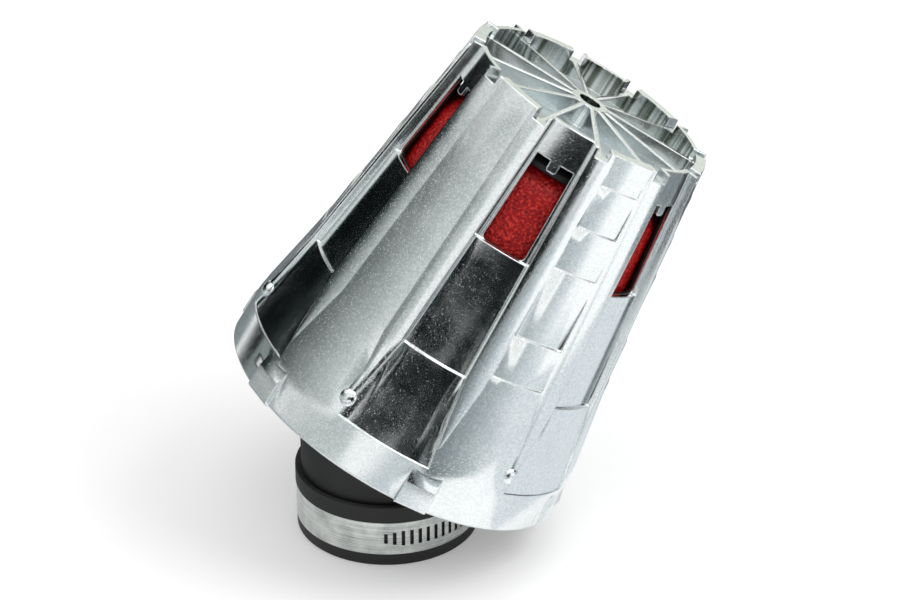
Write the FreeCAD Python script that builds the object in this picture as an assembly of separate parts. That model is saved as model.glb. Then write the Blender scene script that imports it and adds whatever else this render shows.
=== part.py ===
import FreeCAD, Part
import os
from math import asin, cos, degrees, pi, radians, sin, tan

V = FreeCAD.Vector

# Sizes are in millimetres, angles in degrees. The neck stands on its mouth with its axis along Z,
# and the cowl leans from it towards X. Cowl heights are counted from its rim along its own axis.

# Lie of the cowl
cowl_tilt = 30.0
rim_above_bend = 3.7
clamp_room = 2.8

# Cowl body
cowl_height = 105.0
rim_flare = 0.3
skirt_height = 12.0
cone_angle = 8.32
cowl_wall = 1.7
window_count = 6
first_window_angle = 10.0

# Window panels, sunk as channels that spread at the foot
channel_foot_width = 20.4
channel_top_width = 11.9
channel_foot_spread = 3.2
channel_draft = 0.3
channel_foot_depth = 0.4
channel_mid_depth = 2.1
channel_sill_depth = 2.8
channel_top_depth = 2.3
channel_ledge = 0.9
channel_ledge_gap = 32.5
window_strip = 9.5
window_height = 26.0
window_sill_width = 12.2
window_head_width = 10.6
window_corner = 1.4
tongue_width = 2.9
tongue_length = 2.8
tongue_corner = 0.8

# Plain panels, shallow and stepped, with a rounded ridge along each side
plain_depth = 0.9
plain_foot_start = 3.0
plain_foot_run = 21.0
plain_foot_lift = 0.05
ridge_radius = 12.5
ridge_tip = 6.0
ridge_tip_radius = 0.5
ridge_arc_angle = 40.0
ridge_facets = 7
bold_ledge = 0.7
faint_ledge = 0.25
bold_ledge_drop = 20.5
bold_ledge_pitch = 31.9
faint_ledge_gap = 11.9
bare_panel_angle = 220.0

# Beads that end every other ridge at its foot
bead_lead_angle = -16.4
bead_radius = 1.6
bead_foot = 4.6
bead_run = 28.0
bead_proud = 0.6
bead_sink = 0.9

# Spoked end of the cowl
dish_depth = 7.0
dish_floor = 1.8
dish_wall = 1.5
spoke_width = 1.5
notch_width = 3.6
notch_depth = 2.6
hub_radius = 5.2
hub_hole_radius = 3.1
hub_hole_depth = 4.5
hub_drop = 0.8

# Snap lugs of the skirt
lug_lead_angle = 17.0
lug_width = 9.0
lug_height = 12.3
lug_face_height = 6.8
lug_proud = 1.3
lug_fall = 0.3
lug_wall = 1.2
lug_edge = 0.6

# Base plate
plate_height = 1.6
plate_thickness = 3.0
plate_clearance = 0.3
plate_ledge = 2.7
hole_margin = 1.45
tab_width = 4.6
tab_clearance = 0.3
curb_wall = 1.5
curb_height = 4.0

# Foam element, cage and end cap
foam_thickness = 9.5
foam_top_gap = 5.0
foam_shoulder = 3.0
foam_clearance = 0.3
cage_wall = 1.8
cage_ribs = 8
cage_tiers = 3
cage_rib_width = 3.5
cage_ring_height = 4.0
cap_shoulder = 1.0
cap_inset = 2.6
cap_wall = 1.4
cap_plug = 3.0
cap_crown = 2.6
cap_headroom = 3.2

# Rubber neck
bore_radius = 21.0
bore_depth = 18.0
spigot_stop = 1.2
neck_wall = 2.6
seat_wall = 3.2
foot_lip_proud = 0.7
foot_lip_height = 3.8
upper_lip_proud = 1.0
upper_lip_height = 5.4
lip_edge = 0.6
flange_lap = 3.3
flange_thickness = 3.6
collar_wall = 4.0
throat_depth = 1.5
collar_clearance = 0.2
grip_lap = 2.2
grip_clearance = 0.3
grip_height = 2.2

# Worm clamp
band_width = 9.8
band_thickness = 0.7
band_clearance = 0.1
layer_gap = 0.06
housing_angle = 75.0
housing_length = 12.0
housing_wall = 1.1
housing_gap = 0.12
tail_angle = 27.0
lap_angle = 12.0
ramp_angle = 14.0
slot_start_angle = 262.0
slot_pitch = 2.35
slot_width = 1.0
slot_height = 4.6
lead_slot_height = 3.0
lead_slots = 2
screw_radius = 3.0
screw_clearance = 0.08
screw_lift = 0.4
screw_end_play = 0.25
head_flats = 7.0
head_height = 3.6
head_slot_width = 1.1
head_slot_depth = 1.6
tip_radius = 3.6
tip_height = 1.4

# Overshoot of cutting tools past the faces that they open
over = 1.0

# Sizes that follow from the neck's bore outwards
tube_radius = bore_radius + neck_wall
seat_radius = bore_radius + seat_wall
seat_top = foot_lip_height + band_width
foot_lip_radius = seat_radius + foot_lip_proud
upper_lip_radius = seat_radius + upper_lip_proud
plate_hole_radius = tube_radius / cos(radians(cowl_tilt)) + hole_margin
cage_foot_radius = plate_hole_radius + grip_lap
foam_foot_radius = cage_foot_radius + cage_wall + foam_clearance + foam_thickness
curb_radius = foam_foot_radius + foam_clearance
plate_radius = curb_radius + curb_wall + plate_ledge
skirt_radius = plate_radius + plate_clearance + cowl_wall
rim_radius = skirt_radius + rim_flare

# Sizes that follow along the cowl's axis
cone_fall = tan(radians(cone_angle))
crown_radius = skirt_radius - (cowl_height - skirt_height) * cone_fall
plate_top = plate_height + plate_thickness
ceiling = cowl_height - dish_depth - dish_floor
foam_top = ceiling - cap_headroom - cap_crown
foam_height = foam_top - plate_top
foam_top_radius = skirt_radius - (foam_top - skirt_height) * cone_fall - foam_top_gap
flange_low = plate_height - flange_thickness
flange_drop = (flange_low + rim_above_bend) / cos(radians(cowl_tilt))
bend_height = seat_top + clamp_room + upper_lip_radius * tan(radians(cowl_tilt)) - flange_drop


def ring(points):
    """Solid of revolution about Z from a closed outline of (radius, height) points."""
    corners = [V(r, 0, h) for r, h in points]
    face = Part.Face(Part.makePolygon(corners + corners[:1]))
    return face.revolve(V(0, 0, 0), V(0, 0, 1), 360)


def block(low, high):
    """Solid between two outlines of as many corners, whose matching sides are flat."""
    faces = [Part.Face(Part.makePolygon(side + side[:1])) for side in (low, high)]
    for i in range(len(low)):
        j = (i + 1) % len(low)
        faces.append(Part.Face(Part.makePolygon([low[i], low[j], high[j], high[i], low[i]])))
    solid = Part.Solid(Part.Shell(faces))
    if solid.Volume < 0:
        solid.reverse()
    return solid


def rounded(points, radii):
    """Closed wire through the points, each corner rounded by its own radius."""
    count = len(points)
    edges = []
    ends = []
    for i in range(count):
        p = points[i]
        back = (points[i - 1] - p).normalize()
        ahead = (points[(i + 1) % count] - p).normalize()
        if radii[i] <= 0:
            ends.append((p, p))
            continue
        half = back.getAngle(ahead) / 2
        reach = radii[i] / tan(half)
        middle = (back + ahead).normalize()
        centre = p + middle * (radii[i] / sin(half))
        ends.append((p + back * reach, p + ahead * reach))
        edges.append(Part.Arc(ends[i][0], centre - middle * radii[i], ends[i][1]).toShape())
    for i in range(count):
        edges.append(Part.LineSegment(ends[i][1], ends[(i + 1) % count][0]).toShape())
    return Part.Wire(Part.__sortEdges__(edges))


def plate_along_x(outline, radii, near, far):
    """Prism along X between near and far, of an outline of (y, z) points."""
    wire = rounded([V(near, y, z) for y, z in outline], radii)
    return Part.Face(wire).extrude(V(far - near, 0, 0))


def slab_across_y(outline, width):
    """Prism across Y, centred, of an outline of (x, z) points."""
    corners = [V(x, -width / 2, z) for x, z in outline]
    return Part.Face(Part.makePolygon(corners + corners[:1])).extrude(V(0, width, 0))


def turned(shape, angle):
    """Copy of a shape turned about Z."""
    copy = shape.copy()
    copy.rotate(V(0, 0, 0), V(0, 0, 1), angle)
    return copy


def pattern(shape, count, first):
    """Copies of a shape spaced evenly about Z, the first one at the given angle."""
    return [turned(shape, first + i * 360.0 / count) for i in range(count)]


def leaned(shape):
    """Copy of a shape moved from the cowl's frame to the neck's frame."""
    copy = shape.copy()
    copy.translate(V(0, 0, rim_above_bend))
    copy.rotate(V(0, 0, 0), V(0, 1, 0), cowl_tilt)
    copy.translate(V(0, 0, bend_height))
    return copy


def blend(h, foot, top):
    """Value at height h of a size that goes evenly from the skirt's top to the crown."""
    return foot + (top - foot) * (h - skirt_height) / (cowl_height - skirt_height)


def crest(h):
    """Radius of the ridges at a height."""
    return blend(h, skirt_radius, crown_radius)


def channel_stations():
    """Heights, depths and ledges of a window panel, from the skirt up."""
    sill = cowl_height - window_strip - window_height
    return [
        (skirt_height, channel_foot_depth, 0.0),
        (sill - channel_ledge_gap, channel_mid_depth, channel_ledge),
        (sill, channel_sill_depth, channel_ledge),
        (cowl_height, channel_top_depth, 0.0),
    ]


def plain_depth_at(h):
    """Depth of a plain panel's floor at a height, before its ledges."""
    rise = (h - skirt_height - plain_foot_start) / plain_foot_run
    return (plain_depth + plain_foot_lift) * min(rise, 1.0) - plain_foot_lift


def plain_stations(stepped):
    """Heights, depths and ledges of a plain panel, from the skirt up."""
    foot = skirt_height + plain_foot_start
    found = [(h, plain_depth_at(h), 0.0) for h in (foot, foot + plain_foot_run, cowl_height)]
    if stepped:
        bold = cowl_height - bold_ledge_drop
        ledges = [(bold + faint_ledge_gap, faint_ledge)]
        while bold - faint_ledge_gap > foot + plain_foot_run / 2:
            ledges += [(bold, bold_ledge), (bold - faint_ledge_gap, faint_ledge)]
            bold -= bold_ledge_pitch
        found += [(h, plain_depth_at(h) + step, step) for h, step in ledges]
    return sorted(found)


def floor_ring(stations):
    """Solid whose outside is a panel's floor, ledges included, carried all the way round."""
    low = stations[0][0]
    outline = [(0, low)]
    for h, depth, ledge in stations:
        if ledge > 0:
            outline.append((crest(h) - depth + ledge, h))
        outline.append((crest(h) - depth, h))
    (r0, h0), (r1, h1) = outline[-2:]
    outline.append((r1 + (r1 - r0) * 2 * over / (h1 - h0), h1 + 2 * over))
    outline.append((0, h1 + 2 * over))
    return ring(outline)


def wedge(sections):
    """Solid between two heights, each given by the two ends of one side, mirrored across XZ."""
    ends = []
    for h, (x0, y0), (x1, y1) in sections:
        ends.append([V(x0, -y0, h), V(x1, -y1, h), V(x1, y1, h), V(x0, y0, h)])
    return block(*ends)


def channel_half(h, spread):
    """Half the width of a window panel's floor at a height."""
    return blend(h, channel_foot_width, channel_top_width) / 2 + spread


def channel_cut():
    """Tools that sink one window panel facing X: straight above its ledge and spreading below it."""
    stations = channel_stations()
    ring_floor = floor_ring(stations)
    reach = rim_radius + lug_proud + over
    heights = [skirt_height, stations[1][0], cowl_height + over]
    spreads = [channel_foot_spread, 0.0, 0.0]
    sections = []
    for h, spread in zip(heights, spreads):
        half = channel_half(h, spread)
        floor = crest(h) - channel_mid_depth
        inner = floor - channel_sill_depth - over
        sections.append((h, (inner, half - channel_draft * (floor - inner)),
                         (reach, half + channel_draft * (reach - floor))))
    return [wedge(pair).cut(ring_floor) for pair in zip(sections, sections[1:])]


def ridge_section(h, spread, radius):
    """Faceted section of the ridge beside a plain panel facing X, level with the window panel's edge."""
    channel = channel_half(h, spread) + channel_draft * channel_mid_depth
    edge = radians(180.0 / window_count) - asin(channel / crest(h))
    x = (crest(h) - radius) * cos(edge)
    y = (crest(h) - radius) * sin(edge)
    first = radians(180.0 / window_count - ridge_arc_angle)
    step = radians(ridge_arc_angle) / ridge_facets
    turns = [first + i * step for i in range(ridge_facets + 1)]
    return [V(x, y, h)] + [V(x + radius * cos(t), y + radius * sin(t), h) for t in turns]


def ridges():
    """The two ridges beside a plain panel facing X, each running out to a point at its foot."""
    bend = channel_stations()[1][0]
    tip = skirt_height + ridge_tip
    tip_spread = channel_foot_spread * (bend - tip) / (bend - skirt_height)
    sections = [ridge_section(tip, tip_spread, ridge_tip_radius), ridge_section(bend, 0.0, ridge_radius),
                ridge_section(cowl_height + over, 0.0, ridge_radius)]
    found = [block(*pair) for pair in zip(sections, sections[1:])]
    return found + [solid.mirror(V(0, 0, 0), V(0, 1, 0)) for solid in found]


def plain_cut(stepped):
    """Tool that sinks one plain panel facing X down to its floor, past the ridge on each side."""
    reach = rim_radius + lug_proud + over
    slope = tan(radians(0.75 * 180.0 / window_count))
    sections = []
    for h in (skirt_height + plain_foot_start, cowl_height + over):
        sections.append((h, (crest(h) / 2, crest(h) * slope), (reach, crest(h) * slope)))
    return wedge(sections).cut([floor_ring(plain_stations(stepped))] + ridges())


def bead():
    """Rounded end of one ridge facing X, which sinks into the ridge above it."""
    low = skirt_height + bead_foot
    high = low + bead_run
    start = V(crest(low) + bead_proud - bead_radius, 0, low)
    stop = V(crest(high) - bead_sink - 2 * bead_radius + over / 10, 0, high)
    run = stop - start
    return Part.makeCylinder(bead_radius, run.Length, start, run).fuse(Part.makeSphere(bead_radius, start))


def window_cut():
    """Tool for one window facing X, with the tongue left hanging from its head."""
    head = cowl_height - window_strip
    sill = head - window_height
    y0 = window_sill_width / 2
    y1 = window_head_width / 2
    t = tongue_width / 2
    outline = [(-y0, sill), (y0, sill), (y1, head), (t, head), (t, head - tongue_length),
               (-t, head - tongue_length), (-t, head), (-y1, head)]
    radii = [window_corner, window_corner, 0.0, 0.0, tongue_corner, tongue_corner, 0.0, 0.0]
    return plate_along_x(outline, radii, foam_top_radius / 2, rim_radius)


def cowl_hollow():
    """Room inside the cowl, a wall's thickness behind the deepest floors."""
    stations = channel_stations()
    outline = [(0, -over), (rim_radius - cowl_wall, -over),
               (skirt_radius - cowl_wall, skirt_height - 3 * cowl_wall)]
    for h, depth, _ in stations[:-1]:
        outline.append((crest(h) - depth - cowl_wall, h + cowl_wall))
    (h0, depth0, _), (h1, depth1, _) = stations[-2:]
    depth = depth0 + (depth1 - depth0) * (ceiling - h0) / (h1 - h0)
    outline += [(crest(ceiling) - depth - cowl_wall, ceiling), (0, ceiling)]
    return ring(outline)


def lug():
    """One hollow snap lug facing X, as its outer block and the pocket inside it."""
    inner = skirt_radius - cowl_wall
    face = skirt_radius + lug_proud
    outer = slab_across_y([(inner, 0), (face - lug_edge, 0), (face, lug_edge),
                           (face - lug_fall, lug_face_height),
                           (crest(lug_height) - lug_edge, lug_height), (inner, lug_height)], lug_width)
    room = face - lug_fall - lug_wall
    pocket = slab_across_y([(inner - over, -over), (room, -over), (room, lug_face_height - lug_wall),
                            (inner, lug_face_height + lug_wall), (inner - over, lug_face_height + lug_wall)],
                           lug_width - 2 * lug_wall)
    return outer, pocket


def make_cowl():
    """Plated cowl: ridged and windowed cone with a spoked end and a lugged skirt."""
    half_pitch = 180.0 / window_count
    body = ring([(0, 0), (rim_radius - lug_edge, 0), (rim_radius, lug_edge),
                 (skirt_radius, skirt_height), (crown_radius, cowl_height), (0, cowl_height)])
    stepped = plain_cut(True)
    bare = plain_cut(False)
    plains = []
    for i in range(window_count):
        angle = first_window_angle + half_pitch + i * 2 * half_pitch
        at_bare = abs(angle - bare_panel_angle) < half_pitch / 2
        plains.append(turned(bare if at_bare else stepped, angle))
    body = body.cut(plains).fuse(pattern(bead(), window_count, first_window_angle + bead_lead_angle))
    channels = []
    for tool in channel_cut():
        channels += pattern(tool, window_count, first_window_angle)
    body = body.cut(channels)

    block_out, pocket = lug()
    lugs_at = first_window_angle + lug_lead_angle
    body = body.fuse(pattern(block_out, window_count, lugs_at))

    dish_radius = crown_radius - channel_top_depth - dish_wall
    floor = cowl_height - dish_depth
    dish_top = cowl_height + over
    dish = ring([(0, floor), (dish_radius, floor), (dish_radius, dish_top), (0, dish_top)])
    notch_floor = cowl_height - notch_depth
    notch = slab_across_y([(dish_radius - over, notch_floor), (rim_radius, notch_floor),
                           (rim_radius, dish_top), (dish_radius - over, dish_top)], notch_width)
    ridges_at = first_window_angle + half_pitch / 2
    body = body.cut([cowl_hollow(), dish] + pattern(pocket, window_count, lugs_at)
                    + pattern(window_cut(), window_count, first_window_angle)
                    + pattern(notch, 2 * window_count, ridges_at))

    hub_top = cowl_height - hub_drop
    root = floor - dish_floor / 2
    hub = ring([(0, root), (hub_radius, root), (hub_radius, hub_top), (hub_hole_radius, hub_top),
                (hub_hole_radius, hub_top - hub_hole_depth), (0, hub_top - hub_hole_depth)])
    hub_mid = (hub_radius + hub_hole_radius) / 2
    spoke_end = dish_radius + dish_wall / 2
    spoke = slab_across_y([(hub_mid, root), (spoke_end, root), (spoke_end, notch_floor), (hub_mid, hub_top)],
                          spoke_width)
    return body.fuse([hub] + pattern(spoke, 2 * window_count, ridges_at)).removeSplitter()


def foam_radius(h):
    """Outer radius of the foam at a height."""
    return foam_foot_radius + (foam_top_radius - foam_foot_radius) * (h - plate_top) / foam_height


def make_foam():
    """Hollow cone of foam that stands on the base plate."""
    h0 = plate_top
    h1 = foam_top
    turn = foam_shoulder * (1 - cos(pi / 4))
    return ring([(foam_foot_radius - foam_thickness, h0), (foam_foot_radius, h0),
                 (foam_radius(h1 - foam_shoulder), h1 - foam_shoulder),
                 (foam_top_radius - turn, h1 - turn), (foam_top_radius - foam_shoulder, h1),
                 (foam_top_radius - foam_thickness, h1)])


def make_cage():
    """Open cone of ribs and rings inside the foam."""
    h0 = plate_top
    h1 = foam_top
    gap = foam_thickness + foam_clearance
    shell = ring([(cage_foot_radius, h0), (cage_foot_radius + cage_wall, h0),
                  (foam_top_radius - gap, h1), (foam_top_radius - gap - cage_wall, h1)])
    tier = (foam_height - cage_ring_height) / cage_tiers
    tools = []
    for i in range(cage_tiers):
        low = h0 + cage_ring_height + i * tier
        high = low + tier - cage_ring_height
        halves = [(foam_radius(h) - gap) * tan(pi / cage_ribs) - cage_rib_width / 2 for h in (low, high)]
        outline = [(-halves[0], low), (halves[0], low), (halves[1], high), (-halves[1], high)]
        tool = plate_along_x(outline, [0.0] * 4, 0.0, foam_foot_radius)
        tools += pattern(tool, cage_ribs, 0.0)
    return shell.cut(tools)


def make_cap():
    """Cap that rests on the small end of the foam, with a plug inside the cage."""
    h = foam_top
    edge = foam_top_radius - cap_inset
    plug = foam_top_radius - foam_thickness - 2 * foam_clearance - cage_wall
    top = h + cap_crown
    return ring([(0, h), (plug - cap_wall, h), (plug - cap_wall, h - cap_plug), (plug, h - cap_plug),
                 (plug, h), (edge, h), (edge, top - cap_shoulder), (edge - cap_shoulder, top), (0, top)])


def make_plate():
    """Base plate: ring with a curb round the foam and tabs that sit in the cowl's lugs."""
    top = plate_top
    wall = curb_radius + curb_wall
    plate = ring([(plate_hole_radius, plate_height), (plate_radius, plate_height), (plate_radius, top),
                  (wall, top), (wall, top + curb_height), (curb_radius, top + curb_height),
                  (curb_radius, top), (plate_hole_radius, top)])
    root = plate_radius - over
    reach = skirt_radius + lug_proud - lug_fall - lug_wall - tab_clearance
    tab = slab_across_y([(root, plate_height), (reach, plate_height),
                         (reach, top - tab_clearance), (root, top - tab_clearance)], tab_width)
    return plate.fuse(pattern(tab, window_count, first_window_angle + lug_lead_angle)).removeSplitter()


def make_neck():
    """Rubber neck: upright tube with two lips, cut aslant and moulded to a flange that grips the plate."""
    lip_top = seat_top + upper_lip_height
    tall = 3 * bend_height
    tube = ring([(0, 0), (foot_lip_radius - lip_edge, 0), (foot_lip_radius, lip_edge),
                 (foot_lip_radius, foot_lip_height), (seat_radius, foot_lip_height), (seat_radius, seat_top),
                 (upper_lip_radius, seat_top), (upper_lip_radius, lip_top - lip_edge),
                 (upper_lip_radius - lip_edge, lip_top), (tube_radius, lip_top), (tube_radius, tall),
                 (0, tall)])
    flange_radius = plate_hole_radius + flange_lap
    mid = (flange_low + plate_height) / 2
    above = ring([(0, mid), (2 * tall, mid), (2 * tall, 2 * tall), (0, 2 * tall)])
    throat_low = mid - throat_depth
    below = ring([(0, throat_low), (2 * tall, throat_low), (2 * tall, -2 * tall), (0, -2 * tall)])
    collar = plate_hole_radius - collar_clearance
    throat_radius = collar - collar_wall
    grip_top = plate_top + grip_height
    grip_radius = foam_radius(grip_top) - foam_thickness - foam_clearance - cage_wall - grip_clearance
    flange = ring([(0, flange_low), (flange_radius - lip_edge, flange_low),
                   (flange_radius, flange_low + lip_edge), (flange_radius, plate_height),
                   (collar, plate_height), (collar, plate_top), (grip_radius, plate_top),
                   (grip_radius, plate_top + lip_edge), (collar, grip_top), (0, grip_top)])
    bore = Part.makeCylinder(bore_radius, bore_depth + over, V(0, 0, -over))
    passage = Part.makeCylinder(bore_radius - spigot_stop, tall, V(0, 0, 0)).common(leaned(below))
    throat = Part.makeCylinder(throat_radius, tall, V(0, 0, throat_low))
    body = tube.cut(leaned(above)).fuse(leaned(flange))
    return body.cut([bore, passage, leaned(throat)]).removeSplitter()


def arc_wire_points(radius, start, end):
    """Start, middle and end of an arc about Z."""
    return [V(radius * cos(radians(a)), radius * sin(radians(a)), 0) for a in (start, (start + end) / 2, end)]


def band_radii():
    """Inner radii of the band's first turn and of the layer that laps it."""
    first = seat_radius + band_clearance
    return first, first + band_thickness + layer_gap


def make_band():
    """Clamp band: one strip that goes round the seat, climbs over its own start and ends in a tail."""
    inner, lapped = band_radii()
    start = housing_angle - lap_angle
    ramp_end = start + 360 - ramp_angle / 8
    ramp_start = ramp_end - ramp_angle
    tail_end = housing_angle + 360 + tail_angle
    t = band_thickness
    sides = []
    for offset in (0.0, t):
        turn = arc_wire_points(inner + offset, start, ramp_start)
        lap = arc_wire_points(lapped + offset, ramp_end, tail_end)
        sides.append((turn, lap))
    (turn_in, lap_in), (turn_out, lap_out) = sides
    edges = [Part.Arc(*turn_in), Part.LineSegment(turn_in[2], lap_in[0]), Part.Arc(*lap_in),
             Part.LineSegment(lap_in[2], lap_out[2]), Part.Arc(*lap_out),
             Part.LineSegment(lap_out[0], turn_out[2]), Part.Arc(*turn_out),
             Part.LineSegment(turn_out[0], turn_in[0])]
    face = Part.Face(Part.Wire([e.toShape() for e in edges]))
    strip = face.extrude(V(0, 0, band_width))
    strip.translate(V(0, 0, foot_lip_height))
    pitch = degrees(slot_pitch / (inner + t))
    count = int((tail_end - slot_start_angle - pitch) / pitch)
    tools = []
    for i in range(count):
        angle = slot_start_angle + i * pitch
        height = slot_height
        if i < lead_slots:
            height = lead_slot_height + i * (slot_height - lead_slot_height) / lead_slots
        low = lapped - layer_gap / 2 if angle + pitch > ramp_start else inner - band_clearance
        tool = Part.makeBox(lapped + 2 * t - low, slot_width, height,
                            V(low, -slot_width / 2, foot_lip_height + (band_width - height) / 2))
        if not ramp_start - pitch < angle < ramp_end + pitch:
            tools.append(turned(tool, angle))
    return strip.cut(tools)


def screw_axis():
    """Distance of the screw's axis from the neck's axis."""
    return band_radii()[1] + band_thickness + screw_lift + screw_radius


def at_housing(shape):
    """Copy of a shape moved to the housing's place on the band, from a frame with X outwards."""
    copy = shape.copy()
    copy.translate(V(0, 0, foot_lip_height + band_width / 2))
    return turned(copy, housing_angle)


def make_housing():
    """Clamp housing: arched bridge over the band, bored for the screw and open beneath it."""
    axis = screw_axis()
    bore = screw_radius + screw_clearance
    low = upper_lip_radius + housing_gap
    half = band_width / 2 + housing_wall
    arch = bore + housing_wall
    length = housing_length
    legs = Part.makeBox(axis - low, length, 2 * half, V(low, -length / 2, -half))
    crown = Part.makeCylinder(arch, length, V(axis, -length / 2, 0), V(0, 1, 0))
    slope_top = axis + arch / 2
    shoulder = slab_across_y([(axis, -half), (slope_top, -arch / 2), (slope_top, arch / 2), (axis, half)],
                             length)
    body = legs.fuse([crown, shoulder])
    hole = Part.makeCylinder(bore, length + 2 * over, V(axis, -length / 2 - over, 0), V(0, 1, 0))
    gap = Part.makeBox(axis - low + over, length + 2 * over, 2 * bore,
                       V(low - over, -length / 2 - over, -bore))
    lapped = band_radii()[1] + band_thickness + housing_gap
    room = Part.makeCylinder(lapped, band_width + 2 * housing_gap, V(0, 0, -band_width / 2 - housing_gap))
    return at_housing(body.cut([hole, gap, room]).removeSplitter())


def make_screw():
    """Worm screw: plain shank, slotted hexagon head at one end and a swaged button at the other."""
    axis = screw_axis()
    reach = housing_length / 2 + screw_end_play
    shank = Part.makeCylinder(screw_radius, 2 * reach, V(axis, -reach, 0), V(0, 1, 0))
    corner = head_flats / 2 / cos(pi / 6)
    corners = [V(axis + corner * cos(i * pi / 3), reach, corner * sin(i * pi / 3)) for i in range(7)]
    head = Part.Face(Part.makePolygon(corners)).extrude(V(0, head_height, 0))
    tip = Part.makeCylinder(tip_radius, tip_height, V(axis, -reach - tip_height, 0), V(0, 1, 0))
    slot = Part.makeBox(2 * corner, head_slot_depth + over, head_slot_width,
                        V(axis - corner, reach + head_height - head_slot_depth, -head_slot_width / 2))
    return at_housing(shank.fuse([head, tip]).cut(slot).removeSplitter())


def main():
    """Build each piece and write it out under its node's name."""
    pieces = {
        "cowl": leaned(make_cowl()),
        "foam_element": leaned(make_foam()),
        "end_cap": leaned(make_cap()),
        "support_cage": leaned(make_cage()),
        "base_plate": leaned(make_plate()),
        "rubber_neck": make_neck(),
        "clamp_band": make_band(),
        "clamp_housing": make_housing(),
        "clamp_screw": make_screw(),
    }
    os.makedirs("parts", exist_ok=True)
    for name, shape in pieces.items():
        solids = shape.Solids
        print(name, "solids", len(solids), "valid", shape.isValid(), "volume", round(shape.Volume, 1))
        shape.exportStep("parts/" + name + ".step")


main()
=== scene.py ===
"""Looks of a performance air filter: plated cowl, red foam element, rubber neck and worm clamp."""

import logging
import math
from dataclasses import dataclass, field
from enum import Enum

import bmesh
import bpy
import numpy as np
from mathutils import Matrix, Vector, kdtree


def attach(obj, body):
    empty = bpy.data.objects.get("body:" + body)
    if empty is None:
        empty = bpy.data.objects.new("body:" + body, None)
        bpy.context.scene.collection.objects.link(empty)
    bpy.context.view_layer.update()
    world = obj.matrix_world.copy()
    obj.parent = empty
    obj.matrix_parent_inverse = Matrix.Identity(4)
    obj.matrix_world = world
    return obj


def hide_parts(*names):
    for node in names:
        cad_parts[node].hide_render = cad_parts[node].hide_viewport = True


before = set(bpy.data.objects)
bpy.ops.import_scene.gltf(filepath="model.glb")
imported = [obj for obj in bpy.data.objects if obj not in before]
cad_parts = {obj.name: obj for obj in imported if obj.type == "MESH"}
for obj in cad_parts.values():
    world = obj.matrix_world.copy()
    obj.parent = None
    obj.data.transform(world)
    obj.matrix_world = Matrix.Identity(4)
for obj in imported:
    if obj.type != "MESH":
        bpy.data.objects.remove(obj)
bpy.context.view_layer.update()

log = logging.getLogger("air_filter")

MM = 0.001
WHITE = (1.0, 1.0, 1.0, 1.0)
FILTER_BODY = "filter"

# Lie of the cowl in the part's frame, in millimetres: it leans towards X from a bend on the neck's axis.
COWL_TILT = math.radians(30.0)
COWL_AXIS = (math.sin(COWL_TILT), 0.0, math.cos(COWL_TILT))
COWL_ACROSS = (math.cos(COWL_TILT), 0.0, -math.sin(COWL_TILT))
COWL_ASIDE = (0.0, 1.0, 0.0)
BEND_HEIGHT = 28.986
RIM_ABOVE_BEND = 3.7

# Heights above the cowl's rim, the radius of its ridges' crests at the bend, and its loss with height.
COWL_CEILING = 96.2
POCKET_FLOOR = 98.0
CREST_AT_BEND = 51.3
CREST_FALL = 0.1462

# Windows, spaced evenly round the cowl.
WINDOW_COUNT = 6
WINDOW_PITCH = 2 * math.pi / WINDOW_COUNT
FIRST_WINDOW = math.radians(10.0)


class Slot(Enum):
    """Material slots of the part's record."""

    PLATED = "plated_plastic"
    FOAM = "red_foam"
    NYLON = "black_nylon"
    RUBBER = "black_rubber"
    STEEL = "band_steel"


def linear(colour: str) -> tuple[float, float, float, float]:
    """Turn an sRGB hex colour into linear RGBA.

    Args:
        colour: six hex digits after a hash sign.

    Returns:
        Linear red, green, blue and an alpha of one.
    """
    parts = [int(colour[i:i + 2], 16) / 255 for i in (1, 3, 5)]
    low = [c / 12.92 if c <= 0.04045 else ((c + 0.055) / 1.055) ** 2.4 for c in parts]
    return (low[0], low[1], low[2], 1.0)


def per_metre(size_mm: float) -> float:
    """Texture scale whose features are about the given size."""
    return 1.0 / (size_mm * MM)


def add_node(tree: bpy.types.NodeTree, kind: str, settings: dict | None = None,
             links: dict | None = None) -> bpy.types.Node:
    """Add one node with its settings and links.

    Args:
        tree: node tree that takes the node.
        kind: Blender's name for the type of node.
        settings: values of the node's inputs, by name or index, or of its own properties.
        links: sockets that feed the node's inputs, by name or index.

    Returns:
        The new node.
    """
    node = tree.nodes.new(kind)
    for name, value in (settings or {}).items():
        if isinstance(name, int) or name in node.inputs:
            node.inputs[name].default_value = value
        else:
            setattr(node, name, value)
    for name, socket in (links or {}).items():
        tree.links.new(socket, node.inputs[name])
    return node


def empty_tree(owner: bpy.types.Material | bpy.types.World) -> bpy.types.NodeTree:
    """Turn on the nodes of a material or world and clear them.

    Args:
        owner: material or world.

    Returns:
        Its empty tree.
    """
    owner.use_nodes = True
    owner.node_tree.nodes.clear()
    return owner.node_tree


MaterialStart = tuple[bpy.types.Material, bpy.types.NodeTree, bpy.types.Node, bpy.types.Node]


def begin_material(name: str) -> MaterialStart:
    """Start a material with a Principled shader and the part's own coordinates.

    Args:
        name: name of the real material and its surface.

    Returns:
        The material, its tree, its shader and the node of its coordinates in metres.
    """
    material = bpy.data.materials.new(name)
    tree = empty_tree(material)
    shader = add_node(tree, "ShaderNodeBsdfPrincipled")
    add_node(tree, "ShaderNodeOutputMaterial", links={"Surface": shader.outputs["BSDF"]})
    return material, tree, shader, add_node(tree, "ShaderNodeTexCoord")


def add_piece(name: str, mesh: bpy.types.Mesh) -> bpy.types.Object:
    """Put a mesh into the scene.

    Args:
        name: name of the piece.
        mesh: its mesh, already in place.

    Returns:
        The new object.
    """
    piece = bpy.data.objects.new(name, mesh)
    bpy.context.scene.collection.objects.link(piece)
    return piece


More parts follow.
